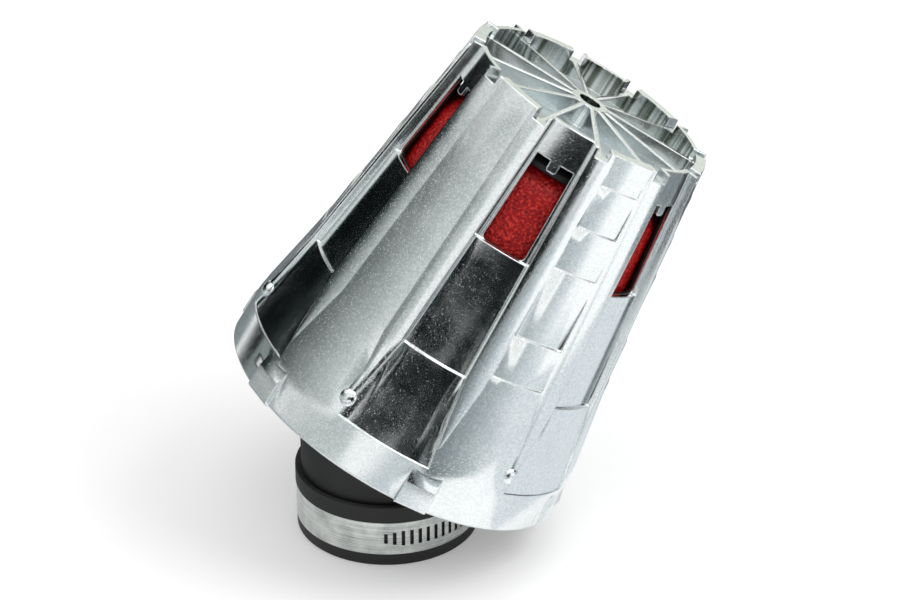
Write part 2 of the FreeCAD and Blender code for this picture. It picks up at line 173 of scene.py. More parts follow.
def cowl_lie() -> Matrix:
    """Placement of the cowl's own frame, in metres."""
    bend, rim = [Matrix.Translation((0, 0, rise * MM)) for rise in (BEND_HEIGHT, RIM_ABOVE_BEND)]
    return bend @ Matrix.Rotation(COWL_TILT, 4, "Y") @ rim


@dataclass(frozen=True)
class CowlPlace:
    """Sockets that say where a point of the cowl lies and which way it faces.

    Height is counted from the bend along the cowl's axis, and spread runs from that axis to the point. The
    other two are the shares of the normal that point away from the axis and along it.
    """

    height: bpy.types.NodeSocket
    spread: bpy.types.NodeSocket
    outwards: bpy.types.NodeSocket
    upwards: bpy.types.NodeSocket


def locate_on_cowl(tree: bpy.types.NodeTree, coordinates: bpy.types.Node) -> CowlPlace:
    """Turn the part's coordinates and normals into the cowl's own.

    Args:
        tree: tree of the material.
        coordinates: node that gives the part's coordinates and normals.

    Returns:
        Sockets of the place on the cowl.
    """
    normal = coordinates.outputs["Normal"]
    bend = (0.0, 0.0, BEND_HEIGHT * MM)
    from_bend = add_node(tree, "ShaderNodeVectorMath", {"operation": "SUBTRACT", 1: bend},
                         {0: coordinates.outputs["Object"]})
    height = add_node(tree, "ShaderNodeVectorMath", {"operation": "DOT_PRODUCT", 1: COWL_AXIS},
                      {0: from_bend.outputs["Vector"]})
    along = add_node(tree, "ShaderNodeVectorMath", {"operation": "SCALE", 0: COWL_AXIS},
                     {"Scale": height.outputs["Value"]})
    spread = add_node(tree, "ShaderNodeVectorMath", {"operation": "SUBTRACT"},
                      {0: from_bend.outputs["Vector"], 1: along.outputs["Vector"]})
    away = add_node(tree, "ShaderNodeVectorMath", {"operation": "NORMALIZE"}, {0: spread.outputs["Vector"]})
    outwards = add_node(tree, "ShaderNodeVectorMath", {"operation": "DOT_PRODUCT"},
                        {0: away.outputs["Vector"], 1: normal})
    upwards = add_node(tree, "ShaderNodeVectorMath", {"operation": "DOT_PRODUCT", 1: COWL_AXIS}, {0: normal})
    return CowlPlace(height.outputs["Value"], spread.outputs["Vector"],
                     outwards.outputs["Value"], upwards.outputs["Value"])


@dataclass(frozen=True)
class MetallisedAbs:
    """ABS moulded on a spark-eroded tool, metallised in a vacuum on its outer side and lacquered.

    The eye gets a mirror that is broken by fine pips, so dark reflections sparkle and pale ones look satin.
    The channels are smoother than the panels. The inner side misses the metal and stays dark, and the walls
    of the crown's pockets carry streaks of painted dark reflection. The pips are drawn coarser than real so
    that they show.
    """

    name: str = "metallised_abs_grained"
    bright: str = "#F0F4F4"
    shade: str = "#DEE3E4"
    # Painted dark reflection, streaked on the walls of the crown's pockets.
    painted_dark_reflection: str = "#5C6358"
    raw: str = "#0C0E0E"

    # Relief: sizes and depths of pips, grain and ripple, and the lots and reach that a pip needs.
    pip_mm: float = 0.42
    pip_depth_mm: float = 0.034
    pip_lots: tuple[float, float] = (0.3, 1.0)
    pip_reach: float = 0.38
    channel_pips: float = 0.46
    channel_half: tuple[float, float] = (11.0, 14.0)
    grain_mm: float = 0.3
    grain_depth_mm: float = 0.007
    ripple_mm: float = 8.0
    ripple_depth_mm: float = 0.008
    edge_mm: float = 0.5
    edge_samples: int = 6

    # Tone and gloss: patches of the lacquer and streaks of painted dark reflection.
    patch_mm: float = 9.0
    patch_tones: tuple[float, float] = (0.4, 1.4)
    patch_gloss: tuple[float, float] = (0.3, 0.7)
    smear_mm: float = 1.6
    smear_tones: tuple[float, float] = (0.4, 0.6)
    smear_least: float = 0.35
    roughness: tuple[float, float] = (0.11, 0.2)
    pocket_roughness: float = 0.5
    raw_roughness: float = 0.5

    # Limits of the plating: how faces are turned, and bands of depth and height in millimetres.
    inward_turn: tuple[float, float] = (-0.25, -0.4)
    downward_turn: float = -0.7
    upward_turn: float = 0.9
    plated_depth_mm: float = 3.2
    plated_fade_mm: float = 0.2
    ceiling_band_mm: tuple[float, float] = (0.2, 0.1)
    floor_band_mm: float = 0.3

    def inwards(self, tree: bpy.types.NodeTree, place: CowlPlace) -> bpy.types.NodeSocket:
        """Tell the faces that are turned towards the cowl's axis.

        Args:
            tree: tree of the material.
            place: sockets of the place on the cowl.

        Returns:
            Socket that is one on those faces.
        """
        turned = add_node(tree, "ShaderNodeMapRange",
                          {"From Min": self.inward_turn[0], "From Max": self.inward_turn[1]},
                          {"Value": place.outwards})
        return turned.outputs["Result"]

    def under_ceiling(self, tree: bpy.types.NodeTree, place: CowlPlace) -> bpy.types.NodeSocket:
        """Tell what lies below the cowl's ceiling from the crown above it.

        Args:
            tree: tree of the material.
            place: sockets of the place on the cowl.

        Returns:
            Socket that is one below the ceiling.
        """
        limit = RIM_ABOVE_BEND + COWL_CEILING + self.ceiling_band_mm[1]
        below = add_node(tree, "ShaderNodeMath", {"operation": "LESS_THAN", 1: limit * MM}, {0: place.height})
        return below.outputs["Value"]

    def bare_side(self, tree: bpy.types.NodeTree, place: CowlPlace) -> bpy.types.NodeSocket:
        """Tell where the plating is missed: on inner faces, deep under the crests and on the ceiling.

        Args:
            tree: tree of the material.
            place: sockets of the place on the cowl.

        Returns:
            Socket that is one on the bare plastic.
        """
        reach = add_node(tree, "ShaderNodeVectorMath", {"operation": "LENGTH"}, {0: place.spread})
        skin = add_node(tree, "ShaderNodeMath", {"operation": "MULTIPLY_ADD", 1: CREST_FALL},
                        {0: place.height, 2: reach.outputs["Value"]})
        edge = CREST_AT_BEND - self.plated_depth_mm
        sunk = add_node(tree, "ShaderNodeMapRange",
                        {"From Min": edge * MM, "From Max": (edge - self.plated_fade_mm) * MM},
                        {"Value": skin.outputs["Value"]})
        bare = add_node(tree, "ShaderNodeMath", {"operation": "MAXIMUM"},
                        {0: self.inwards(tree, place), 1: sunk.outputs["Result"]})
        wall = add_node(tree, "ShaderNodeMath", {"operation": "MULTIPLY"},
                        {0: bare.outputs["Value"], 1: self.under_ceiling(tree, place)})
        downwards = add_node(tree, "ShaderNodeMath", {"operation": "LESS_THAN", 1: self.downward_turn},
                             {0: place.upwards})
        limit = RIM_ABOVE_BEND + COWL_CEILING - self.ceiling_band_mm[0]
        high = add_node(tree, "ShaderNodeMath", {"operation": "GREATER_THAN", 1: limit * MM},
                        {0: place.height})
        ceiling = add_node(tree, "ShaderNodeMath", {"operation": "MULTIPLY"},
                           {0: downwards.outputs["Value"], 1: high.outputs["Value"]})
        either = add_node(tree, "ShaderNodeMath", {"operation": "MAXIMUM"},
                          {0: wall.outputs["Value"], 1: ceiling.outputs["Value"]})
        return either.outputs["Value"]

    def pocket_floors(self, tree: bpy.types.NodeTree, place: CowlPlace) -> bpy.types.NodeSocket:
        """Tell the floors between the spokes.

        Args:
            tree: tree of the material.
            place: sockets of the place on the cowl.

        Returns:
            Socket that is one on those floors.
        """
        up = add_node(tree, "ShaderNodeMath", {"operation": "GREATER_THAN", 1: self.upward_turn},
                      {0: place.upwards})
        level = RIM_ABOVE_BEND + POCKET_FLOOR
        deep = add_node(tree, "ShaderNodeMath",
                        {"operation": "COMPARE", 1: level * MM, 2: self.floor_band_mm * MM}, {0: place.height})
        floor = add_node(tree, "ShaderNodeMath", {"operation": "MULTIPLY"},
                         {0: up.outputs["Value"], 1: deep.outputs["Value"]})
        return floor.outputs["Value"]

    def painted_reflection_streaks(self, tree: bpy.types.NodeTree, place: CowlPlace) -> bpy.types.NodeSocket:
        """Streak the walls of the crown's pockets along the cowl's axis with painted dark reflection.

        Args:
            tree: tree of the material.
            place: sockets of the place on the cowl.

        Returns:
            Socket that is up to one on the streaks.
        """
        above = add_node(tree, "ShaderNodeMath", {"operation": "SUBTRACT", 0: 1.0},
                         {1: self.under_ceiling(tree, place)})
        ring = add_node(tree, "ShaderNodeMath", {"operation": "MULTIPLY"},
                        {0: self.inwards(tree, place), 1: above.outputs["Value"]})
        smear = add_node(tree, "ShaderNodeTexNoise", {"Scale": per_metre(self.smear_mm), "Detail": 3.0},
                         {"Vector": place.spread})
        streak = add_node(tree, "ShaderNodeMapRange",
                          {"From Min": self.smear_tones[0], "From Max": self.smear_tones[1],
                           "To Min": self.smear_least},
                          {"Value": smear.outputs["Fac"]})
        painted_streak = add_node(tree, "ShaderNodeMath", {"operation": "MULTIPLY"},
                           {0: ring.outputs["Value"], 1: streak.outputs["Result"]})
        return painted_streak.outputs["Value"]

    def pip_share(self, tree: bpy.types.NodeTree, place: CowlPlace) -> bpy.types.NodeSocket:
        """Lower the pips in the channels, which the tool has polished.

        Args:
            tree: tree of the material.
            place: sockets of the place on the cowl.

        Returns:
            Socket with the share of the pips' height that is left.
        """
        across, aside = [add_node(tree, "ShaderNodeVectorMath", {"operation": "DOT_PRODUCT", 1: way},
                                  {0: place.spread}).outputs["Value"]
                         for way in (COWL_ACROSS, COWL_ASIDE)]
        turn = add_node(tree, "ShaderNodeMath", {"operation": "ARCTAN2"}, {0: aside, 1: across})
        lead = add_node(tree, "ShaderNodeMath", {"operation": "SUBTRACT", 1: FIRST_WINDOW},
                        {0: turn.outputs["Value"]})
        off = add_node(tree, "ShaderNodeMath", {"operation": "PINGPONG", 1: WINDOW_PITCH / 2},
                       {0: lead.outputs["Value"]})
        inside, outside = [math.radians(half) for half in self.channel_half]
        share = add_node(tree, "ShaderNodeMapRange",
                         {"From Min": inside, "From Max": outside, "To Min": self.channel_pips},
                         {"Value": off.outputs["Value"]})
        return share.outputs["Result"]

    def relief(self, tree: bpy.types.NodeTree, coordinates: bpy.types.NodeSocket, pips: bpy.types.Node,
               lot: bpy.types.NodeSocket, share: bpy.types.NodeSocket) -> bpy.types.NodeSocket:
        """Layer the rounded edges, the surface's long ripple, its fine grain and the scattered pips.

        Args:
            tree: tree of the material.
            coordinates: socket of the part's coordinates.
            pips: node that scatters the pips.
            lot: socket with each pip's share of the full height.
            share: socket with the share of that height that the place allows.

        Returns:
            Socket of the bumped normal.
        """
        edge = add_node(tree, "ShaderNodeBevel", {"samples": self.edge_samples, "Radius": self.edge_mm * MM})
        ripple = add_node(tree, "ShaderNodeTexNoise", {"Scale": per_metre(self.ripple_mm), "Detail": 2.0},
                          {"Vector": coordinates})
        wave = add_node(tree, "ShaderNodeBump", {"Distance": self.ripple_depth_mm * MM},
                        {"Height": ripple.outputs["Fac"], "Normal": edge.outputs["Normal"]})
        sand = add_node(tree, "ShaderNodeTexNoise", {"Scale": per_metre(self.grain_mm), "Detail": 2.0},
                        {"Vector": coordinates})
        fine = add_node(tree, "ShaderNodeBump", {"Distance": self.grain_depth_mm * MM},
                        {"Height": sand.outputs["Fac"], "Normal": wave.outputs["Normal"]})
        size = add_node(tree, "ShaderNodeMapRange",
                        {"From Min": self.pip_lots[0], "From Max": self.pip_lots[1]}, {"Value": lot})
        dome = add_node(tree, "ShaderNodeMapRange",
                        {"interpolation_type": "SMOOTHSTEP", "From Max": self.pip_reach,
                         "To Min": 1.0, "To Max": 0.0},
                        {"Value": pips.outputs["Distance"]})
        rise = add_node(tree, "ShaderNodeMath", {"operation": "MULTIPLY"},
                        {0: size.outputs["Result"], 1: dome.outputs["Result"]})
        sown = add_node(tree, "ShaderNodeBump", {"Distance": self.pip_depth_mm * MM},
                        {"Height": rise.outputs["Value"], "Normal": fine.outputs["Normal"],
                         "Strength": share})
        return sown.outputs["Normal"]

    def material(self) -> bpy.types.Material:
        """Build the material."""
        material, tree, shader, coordinates = begin_material(self.name)
        spot = coordinates.outputs["Object"]
        place = locate_on_cowl(tree, coordinates)
        bare = self.bare_side(tree, place)
        patches = add_node(tree, "ShaderNodeTexNoise", {"Scale": per_metre(self.patch_mm), "Detail": 3.0},
                           {"Vector": spot})
        pips = add_node(tree, "ShaderNodeTexVoronoi", {"Scale": per_metre(self.pip_mm)}, {"Vector": spot})
        lot = add_node(tree, "ShaderNodeSeparateColor", links={"Color": pips.outputs["Color"]}).outputs["Red"]
        both = add_node(tree, "ShaderNodeMath", {"operation": "ADD"}, {0: patches.outputs["Fac"], 1: lot})
        speck = add_node(tree, "ShaderNodeMapRange",
                         {"From Min": self.patch_tones[0], "From Max": self.patch_tones[1]},
                         {"Value": both.outputs["Value"]})
        metal = add_node(tree, "ShaderNodeMix",
                         {"data_type": "RGBA", 6: linear(self.shade), 7: linear(self.bright)},
                         {0: speck.outputs["Result"]})
        # Painted dark reflection streaked over the walls of the crown's pockets.
        with_dark_reflection = add_node(tree, "ShaderNodeMix", {"data_type": "RGBA", 7: linear(self.painted_dark_reflection)},
                        {0: self.painted_reflection_streaks(tree, place), 6: metal.outputs[2]})
        tone = add_node(tree, "ShaderNodeMix", {"data_type": "RGBA", 7: linear(self.raw)},
                        {0: bare, 6: with_dark_reflection.outputs[2]})
        gloss = add_node(tree, "ShaderNodeMapRange",
                         {"From Min": self.patch_gloss[0], "From Max": self.patch_gloss[1],
                          "To Min": self.roughness[0], "To Max": self.roughness[1]},
                         {"Value": patches.outputs["Fac"]})
        satin = add_node(tree, "ShaderNodeMix", {3: self.pocket_roughness},
                         {0: self.pocket_floors(tree, place), 2: gloss.outputs["Result"]})
        matt = add_node(tree, "ShaderNodeMix", {3: self.raw_roughness}, {0: bare, 2: satin.outputs[0]})
        plated = add_node(tree, "ShaderNodeMath", {"operation": "SUBTRACT", 0: 1.0}, {1: bare})
        normal = self.relief(tree, spot, pips, lot, self.pip_share(tree, place))
        tree.links.new(tone.outputs[2], shader.inputs["Base Color"])
        tree.links.new(matt.outputs[0], shader.inputs["Roughness"])
        tree.links.new(plated.outputs["Value"], shader.inputs["Metallic"])
        tree.links.new(normal, shader.inputs["Normal"])
        return material


@dataclass(frozen=True)
class ReticulatedFoam:
    """Open-cell polyurethane foam, dyed red and wetted with filter oil.

    The eye gets strands round pits that are darkened with painted shade, and painted highlights at noise peaks
    that stand for small wet glints on the strands.
    """

    name: str = "reticulated_polyurethane_foam_oiled"
    # Painted highlight for the strands' glints, the foam's own red, and painted shade in the pits.
    painted_glint: str = "#E03A2E"
    body: str = "#9A0A11"
    painted_pit_shade: str = "#5C060B"
    glint_mm: float = 0.8
    painted_glint_tones: tuple[float, float] = (0.48, 0.68)
    roughness: float = 0.42
    ior: float = 1.48
    specular: float = 0.25

    def material(self) -> bpy.types.Material:
        """Build the material."""
        material, tree, shader, coordinates = begin_material(self.name)
        shader.inputs["Roughness"].default_value = self.roughness
        shader.inputs["IOR"].default_value = self.ior
        shader.inputs["Specular IOR Level"].default_value = self.specular
        # The pits' depth share darkens them with painted shade.
        depth = add_node(tree, "ShaderNodeAttribute", {"attribute_name": "painted_pit_shade"})
        # Noise peaks lighten the strands with painted highlights for wet glints.
        glint_noise = add_node(tree, "ShaderNodeTexNoise", {"Scale": per_metre(self.glint_mm), "Detail": 3.0},
                          {"Vector": coordinates.outputs["Object"]})
        lit = add_node(tree, "ShaderNodeMapRange",
                       {"From Min": self.painted_glint_tones[0], "From Max": self.painted_glint_tones[1]},
                       {"Value": glint_noise.outputs["Fac"]})
        tops = add_node(tree, "ShaderNodeMix",
                        {"data_type": "RGBA", 6: linear(self.body), 7: linear(self.painted_glint)},
                        {0: lit.outputs["Result"]})
        tone = add_node(tree, "ShaderNodeMix", {"data_type": "RGBA", 7: linear(self.painted_pit_shade)},
                        {0: depth.outputs["Fac"], 6: tops.outputs[2]})
        tree.links.new(tone.outputs[2], shader.inputs["Base Color"])
        return material


@dataclass(frozen=True)
class MouldedBlack:
    """Black polymer straight from the mould: glass-filled nylon or nitrile rubber by its settings.

    The eye gets a dark, even surface with a fine matt grain and slightly paler worn patches.
    """

    name: str
    dark: str
    pale: str
    grain_mm: float
    grain_depth_mm: float
    roughness: tuple[float, float]
    ior: float
    patch_mm: float = 14.0

    def material(self) -> bpy.types.Material:
        """Build the material."""
        material, tree, shader, coordinates = begin_material(self.name)
        spot = coordinates.outputs["Object"]
        shader.inputs["IOR"].default_value = self.ior
        patches = add_node(tree, "ShaderNodeTexNoise", {"Scale": per_metre(self.patch_mm), "Detail": 4.0},
                           {"Vector": spot})
        tone = add_node(tree, "ShaderNodeMix",
                        {"data_type": "RGBA", 6: linear(self.dark), 7: linear(self.pale)},
                        {0: patches.outputs["Fac"]})
        gloss = add_node(tree, "ShaderNodeMapRange",
                         {"To Min": self.roughness[0], "To Max": self.roughness[1]},
                         {"Value": patches.outputs["Fac"]})
        pores = add_node(tree, "ShaderNodeTexNoise", {"Scale": per_metre(self.grain_mm), "Detail": 2.0},
                         {"Vector": spot})
        skin = add_node(tree, "ShaderNodeBump", {"Distance": self.grain_depth_mm * MM},
                        {"Height": pores.outputs["Fac"]})
        tree.links.new(tone.outputs[2], shader.inputs["Base Color"])
        tree.links.new(gloss.outputs["Result"], shader.inputs["Roughness"])
        tree.links.new(skin.outputs["Normal"], shader.inputs["Normal"])
        return material


@dataclass(frozen=True)
class RolledSteel:
    """Stainless strip, cold rolled, so fine lines run along it.

    The eye gets a satin grey that is streaked round the neck. The lines are drawn coarser than real to show.
    """

    name: str = "stainless_strip_cold_rolled"
    bright: str = "#DDE0DD"
    shade: str = "#A2A7A5"
    band_radius_mm: float = 25.0
    line_mm: float = 0.35
    line_depth_mm: float = 0.006
    run_mm: float = 30.0
    scuff_mm: float = 5.0
    worn_tones: tuple[float, float] = (0.75, 1.2)
    roughness: tuple[float, float] = (0.24, 0.4)

    def lines(self, tree: bpy.types.NodeTree, spot: bpy.types.NodeSocket) -> bpy.types.NodeSocket:
        """Draw the rolling lines along the band.

        Args:
            tree: tree of the material.
            spot: socket of the part's coordinates.

        Returns:
            Socket with the strength of the lines.
        """
        axes = add_node(tree, "ShaderNodeSeparateXYZ", links={"Vector": spot})
        turn = add_node(tree, "ShaderNodeMath", {"operation": "ARCTAN2"},
                        {0: axes.outputs["Y"], 1: axes.outputs["X"]})
        along = add_node(tree, "ShaderNodeMath",
                         {"operation": "MULTIPLY", 1: self.band_radius_mm / self.run_mm},
                         {0: turn.outputs["Value"]})
        across = add_node(tree, "ShaderNodeMath", {"operation": "MULTIPLY", 1: per_metre(self.line_mm)},
                          {0: axes.outputs["Z"]})
        strip = add_node(tree, "ShaderNodeCombineXYZ",
                         links={"X": along.outputs["Value"], "Y": across.outputs["Value"]})
        drawn = add_node(tree, "ShaderNodeTexNoise", {"Scale": 1.0, "Detail": 3.0},
                         {"Vector": strip.outputs["Vector"]})
        return drawn.outputs["Fac"]

    def material(self) -> bpy.types.Material:
        """Build the material."""
        material, tree, shader, coordinates = begin_material(self.name)
        spot = coordinates.outputs["Object"]
        shader.inputs["Metallic"].default_value = 1.0
        lines = self.lines(tree, spot)
        scuffs = add_node(tree, "ShaderNodeTexNoise", {"Scale": per_metre(self.scuff_mm), "Detail": 5.0},
                          {"Vector": spot})
        both = add_node(tree, "ShaderNodeMath", {"operation": "ADD"}, {0: lines, 1: scuffs.outputs["Fac"]})
        worn = add_node(tree, "ShaderNodeMapRange",
                        {"From Min": self.worn_tones[0], "From Max": self.worn_tones[1]},
                        {"Value": both.outputs["Value"]})
        tone = add_node(tree, "ShaderNodeMix",
                        {"data_type": "RGBA", 6: linear(self.shade), 7: linear(self.bright)},
                        {0: worn.outputs["Result"]})
        gloss = add_node(tree, "ShaderNodeMapRange",
                         {"To Min": self.roughness[0], "To Max": self.roughness[1]},
                         {"Value": worn.outputs["Result"]})
        brushed = add_node(tree, "ShaderNodeBump", {"Distance": self.line_depth_mm * MM}, {"Height": lines})
        tree.links.new(tone.outputs[2], shader.inputs["Base Color"])
        tree.links.new(gloss.outputs["Result"], shader.inputs["Roughness"])
        tree.links.new(brushed.outputs["Normal"], shader.inputs["Normal"])
        return material


NYLON = MouldedBlack("glass_filled_nylon_moulded", dark="#0B0D0D", pale="#171A1A", grain_mm=0.4,
                     grain_depth_mm=0.02, roughness=(0.4, 0.56), ior=1.53)
RUBBER = MouldedBlack("nitrile_rubber_moulded", dark="#050606", pale="#0D0F0E", grain_mm=0.5,
                      grain_depth_mm=0.02, roughness=(0.52, 0.68), ior=1.52)


@dataclass(frozen=True)
class EdgeBreak:
    """Rounding of a moulded or stamped piece's edges, in millimetres and degrees.

    Corners closer than weld are joined, and so are faces that turn by less than level. Edges that turn by
    more than sharp are rounded. Those between the two crease angles stay crisp lines, and the others are
    shaded smooth.
    """

    width: float
    segments: int = 2
    sharp: float = 32.0
    crease: tuple[float, float] = (8.0, 23.0)
    weld: float = 0.002
    level: float = 0.4

    def shading(self) -> bpy.types.NodeTree:
        """Build the modifier that shades curved and rounded faces smooth and keeps the crisp lines."""
        tree = bpy.data.node_groups.new("smooth_under_angle", "GeometryNodeTree")
        tree.interface.new_socket("Geometry", in_out="INPUT", socket_type="NodeSocketGeometry")
        tree.interface.new_socket("Geometry", in_out="OUTPUT", socket_type="NodeSocketGeometry")
        low, high = [math.radians(angle) for angle in self.crease]
        given = add_node(tree, "NodeGroupInput")
        angle = add_node(tree, "GeometryNodeInputMeshEdgeAngle")
        above = add_node(tree, "FunctionNodeCompare", {"operation": "GREATER_THAN", 1: low},
                         {0: angle.outputs["Unsigned Angle"]})
        below = add_node(tree, "FunctionNodeCompare", {"operation": "LESS_THAN", 1: high},
                         {0: angle.outputs["Unsigned Angle"]})
        crisp = add_node(tree, "FunctionNodeBooleanMath", {"operation": "AND"},
                         {0: above.outputs["Result"], 1: below.outputs["Result"]})
        shaded = add_node(tree, "GeometryNodeSetMeshNormal",
                          {"mode": "SHARPNESS", "Remove Custom": True, "Face Sharpness": False},
                          {"Mesh": given.outputs[0], "Edge Sharpness": crisp.outputs["Boolean"]})
        add_node(tree, "NodeGroupOutput", links={0: shaded.outputs["Mesh"]})
        return tree

    def apply(self, node: bpy.types.Object) -> None:
        """Add the modifiers to a node.

        Args:
            node: object of the piece.
        """
        weld = node.modifiers.new("one_skin", "WELD")
        weld.merge_threshold = self.weld * MM
        flat = node.modifiers.new("whole_faces", "DECIMATE")
        flat.decimate_type = "DISSOLVE"
        flat.angle_limit = math.radians(self.level)
        bevel = node.modifiers.new("broken_edges", "BEVEL")
        bevel.limit_method = "ANGLE"
        bevel.angle_limit = math.radians(self.sharp)
        bevel.width = self.width * MM
        bevel.segments = self.segments
        bevel.use_clamp_overlap = True
        shade = node.modifiers.new("soft_shading", "NODES")
        shade.node_group = self.shading()


def dress_node(name: str, material: bpy.types.Material, edges: EdgeBreak) -> None:
    """Give a node its finish and broken edges.

    Args:
        name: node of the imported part.
        material: finish of the whole piece.
        edges: rounding of the piece's edges.
    """
    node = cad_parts[name]
    for place in node.material_slots:
        place.material = material
    edges.apply(node)
    log.info("%s dressed in %s", name, material.name)


@dataclass
class PlatedCowl:
    """Ridged and windowed cowl with its spoked end. Sizes in millimetres.

    Each window has a ridge beside it that ends in a round foot. Its reach is half its size away from the
    cowl, round it and along it.
    """

    finish: MetallisedAbs = field(default_factory=MetallisedAbs)
    edges: EdgeBreak = EdgeBreak(width=0.3, segments=3)
    foot_lead: float = math.radians(-16.4)
    foot_height: float = 17.0
    foot_seat: float = 48.0
    foot_reach: tuple[float, float, float] = (1.3, 2.3, 2.5)
    foot_facets: tuple[int, int] = (32, 16)

    def build_feet(self, material: bpy.types.Material) -> None:
        """Round off the foot of the ridge beside each window with a low dome, sunk into the cowl's wall.

        Args:
            material: finish of the cowl.
        """
        seat = Matrix.Translation((self.foot_seat * MM, 0, self.foot_height * MM))
        lean = Matrix.Rotation(-math.atan(CREST_FALL), 4, "Y")
        swell = Matrix.Diagonal([*(reach * MM for reach in self.foot_reach), 1.0])
        domes = bmesh.new()
        for i in range(WINDOW_COUNT):
            turn = Matrix.Rotation(FIRST_WINDOW + i * WINDOW_PITCH + self.foot_lead, 4, "Z")
            bmesh.ops.create_uvsphere(domes, u_segments=self.foot_facets[0], v_segments=self.foot_facets[1],
                                      radius=1.0, matrix=cowl_lie() @ turn @ seat @ lean @ swell)
        mesh = bpy.data.meshes.new("ridge_feet")
        domes.to_mesh(mesh)
        domes.free()
        mesh.shade_smooth()
        mesh.materials.append(material)
        feet = add_piece("ridge_feet", mesh)
        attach(feet, FILTER_BODY)
        log.info("%s modelled with %d faces", feet.name, len(mesh.polygons))

    def build(self) -> None:
        """Dress the cowl and round off its ridges."""
        plating = self.finish.material()
        dress_node("cowl", plating, self.edges)
        self.build_feet(plating)


@dataclass
class FilterElement:
    """Foam cone on its cage and plate, with the cap on its small end. Sizes in millimetres.

    The jog and sink of a cell are shares of its size. The mesh is fine where the windows show the foam, medium
    where they give a glimpse of it, and coarse elsewhere.
    """

    finish: ReticulatedFoam = field(default_factory=ReticulatedFoam)
    edges: EdgeBreak = EdgeBreak(width=0.25)
    foot_height: float = 4.6
    height: float = 85.8
    foot_radius: float = 42.5
    top_radius: float = 32.53
    thickness: float = 9.5
    shoulder: float = 7.5
    cell: float = 1.0
    cell_jog: float = 0.48
    cell_sink: float = 0.6
    pit_depth: float = 0.5
    pit_least: float = 0.35
    strand_share: float = 0.5
    fine: float = 0.24
    medium: float = 0.4
    coarse: float = 2.4
    seen_from: float = 60.0
    seen_half: float = math.radians(10.5)
    glimpsed_half: float = math.radians(22.0)
    seed: int = 11

    def outline(self) -> np.ndarray:
        """Closed section of the foam.

        Returns:
            Rows of radius, height and share of cell relief.
        """
        top = self.foot_height + self.height
        taper = (self.top_radius - self.foot_radius) / self.height
        neck = top - self.shoulder
        heights = np.concatenate([np.arange(self.foot_height, self.seen_from, self.coarse),
                                  np.arange(self.seen_from, neck, self.fine)])
        wall = [(self.foot_radius + taper * (h - self.foot_height), h, float(h >= self.seen_from))
                for h in heights]
        steps = int(self.shoulder * math.pi / 2 / self.fine)
        centre = self.foot_radius + taper * (neck - self.foot_height) - self.shoulder
        turns = [math.pi / 2 * i / steps for i in range(steps + 1)]
        arc = [(centre + self.shoulder * math.cos(t), neck + self.shoulder * math.sin(t), 1.0) for t in turns]
        inner_top = self.top_radius - self.thickness
        inner_foot = self.foot_radius - self.thickness
        back = [(inner_top, top, 0.0), ((inner_top + inner_foot) / 2, (top + self.foot_height) / 2, 0.0),
                (inner_foot, self.foot_height, 0.0)]
        return np.array(wall + arc + back)

    def angles(self) -> np.ndarray:
        """Angles of the columns, close together behind each window and wider apart between them.

        Returns:
            Angles round the cowl's axis.
        """
        bounds = (-self.glimpsed_half, -self.seen_half, self.seen_half, self.glimpsed_half,
                  WINDOW_PITCH - self.glimpsed_half)
        steps = (self.medium, self.fine, self.medium, self.coarse)
        found = []
        for i in range(WINDOW_COUNT):
            middle = FIRST_WINDOW + i * WINDOW_PITCH
            for low, high, step in zip(bounds, bounds[1:], steps):
                found.append(np.arange(middle + low, middle + high, step / self.top_radius))
        return np.concatenate(found)

    def cells(self, outline: np.ndarray) -> tuple[kdtree.KDTree, int]:
        """Scatter the middles of the foam's cells over the seen part of its face.

        Args:
            outline: section of the foam.

        Returns:
            Search tree of the cells' middles, and their number.
        """
        seen = outline[outline[:, 2] > 0]
        run = np.concatenate([[0.0], np.cumsum(np.hypot(*np.diff(seen[:, :2], axis=0).T))])
        draw = np.random.default_rng(self.seed)
        rows = int(run[-1] / self.cell)
        columns = int(2 * math.pi * self.top_radius / self.cell)
        tree = kdtree.KDTree(rows * columns)
        for i in range(rows):
            shift = 0.5 * (i % 2)
            for j in range(columns):
                jog = draw.uniform(-self.cell_jog, self.cell_jog, 3)
                s = (i + 0.5 + jog[0]) * self.cell
                t = 2 * math.pi * (j + shift + jog[1]) / columns
                r = np.interp(s, run, seen[:, 0]) + jog[2] * self.cell * self.cell_sink
                h = np.interp(s, run, seen[:, 1])
                tree.insert((r * math.cos(t), r * math.sin(t), h), i * columns + j)
        tree.balance()
        return tree, rows * columns

    def build_foam(self) -> bpy.types.Object:
        """Model the foam as a closed cone whose seen face is pitted cell by cell.

        Returns:
            The foam's object.
        """
        outline = self.outline()
        angles = self.angles()
        cells, count = self.cells(outline)
        rows, columns = len(outline), len(angles)
        deep = np.random.default_rng(self.seed).uniform(self.pit_least, 1.0, count)
        around = np.array([np.cos(angles), np.sin(angles)])
        points = np.empty((rows, columns, 3))
        pits = np.full((rows, columns), self.pit_least)
        for i, (r, h, relief) in enumerate(outline):
            for j in range(columns):
                p = (r * around[0, j], r * around[1, j], h)
                dent = 0.0
                if relief > 0:
                    (_, index, near), (_, _, far) = cells.find_n(p, 2)
                    share = min(1.0, (far - near) / self.cell / (2 * self.strand_share))
                    pits[i, j] = share * share * (3 - 2 * share) * deep[index]
                    dent = self.pit_depth * pits[i, j]
                points[i, j] = ((r - dent) * around[0, j], (r - dent) * around[1, j], h)
        faces = [(i * columns + j, i * columns + (j + 1) % columns,
                  (i + 1) % rows * columns + (j + 1) % columns, (i + 1) % rows * columns + j)
                 for i in range(rows) for j in range(columns)]
        mesh = bpy.data.meshes.new("red_foam_cone")
        mesh.from_pydata((points.reshape(-1, 3) * MM).tolist(), [], faces)
